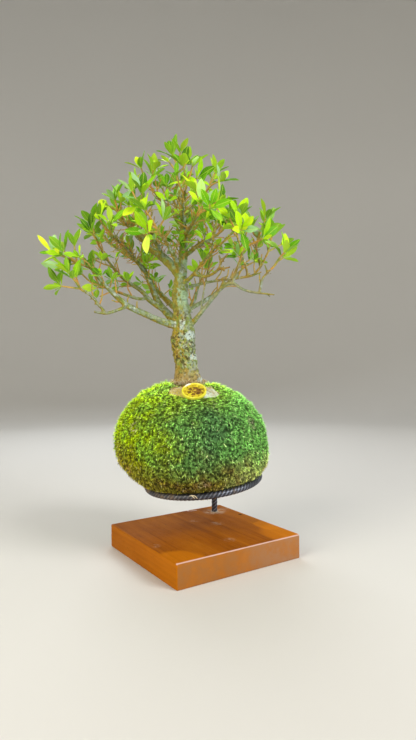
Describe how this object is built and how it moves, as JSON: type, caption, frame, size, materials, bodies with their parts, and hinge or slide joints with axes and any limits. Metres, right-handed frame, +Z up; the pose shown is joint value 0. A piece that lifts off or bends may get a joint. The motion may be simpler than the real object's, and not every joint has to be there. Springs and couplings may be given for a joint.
{
  "type": "kokedama moss ball plant",
  "caption": "Kokedama: a small-leaved bonsai azalea grows from a moss ball that rests in a ribbed iron ring on a square stained wooden block.",
  "frame": {"origin": "centre of the wooden block's underside", "axes": "+Z up; +X and +Y along the block's sides, with the post near the corner where both are greatest; the plant's front faces between -X and -Y"},
  "size_m": [0.2771, 0.2481, 0.4536],
  "materials": {
    "stained_wood": "brown-red stained and lacquered, satin",
    "iron": "dark oiled bar with bluish worn ribs",
    "weld": "dark grey bead, matt",
    "moss": "living moss, short green shoots, matt",
    "soil": "clay soil bound with pale fibres, matt",
    "yellow_plastic": "moulded, semi-matt",
    "plant_feed": "pressed brown granules, matt",
    "bark": "rough bark with grey-green lichen",
    "leaf": "fresh green leaves, slightly glossy above, paler below"
  },
  "bodies": {
    "root": {"wooden_block": "stained_wood", "iron_post": "iron", "iron_ring": "iron", "weld_bead": "weld", "moss_wrap": "moss", "soil_ball": "soil", "watering_cap": "yellow_plastic", "feed_plug": "plant_feed", "trunk": "bark", "spray_01": "leaf", "spray_02": "leaf", "spray_03": "leaf", "spray_04": "leaf", "spray_05": "leaf", "spray_06": "leaf", "spray_07": "leaf", "spray_08": "leaf", "spray_09": "leaf", "spray_10": "leaf", "spray_11": "leaf", "spray_12": "leaf", "spray_13": "leaf", "spray_14": "leaf", "spray_15": "leaf", "spray_16": "leaf", "spray_17": "leaf", "spray_18": "leaf", "spray_19": "leaf", "spray_20": "leaf", "spray_21": "leaf", "spray_22": "leaf", "spray_23": "leaf", "spray_24": "leaf", "spray_25": "leaf", "spray_26": "leaf", "spray_27": "leaf", "spray_28": "leaf", "spray_29": "leaf"}
  },
  "joints": []
}
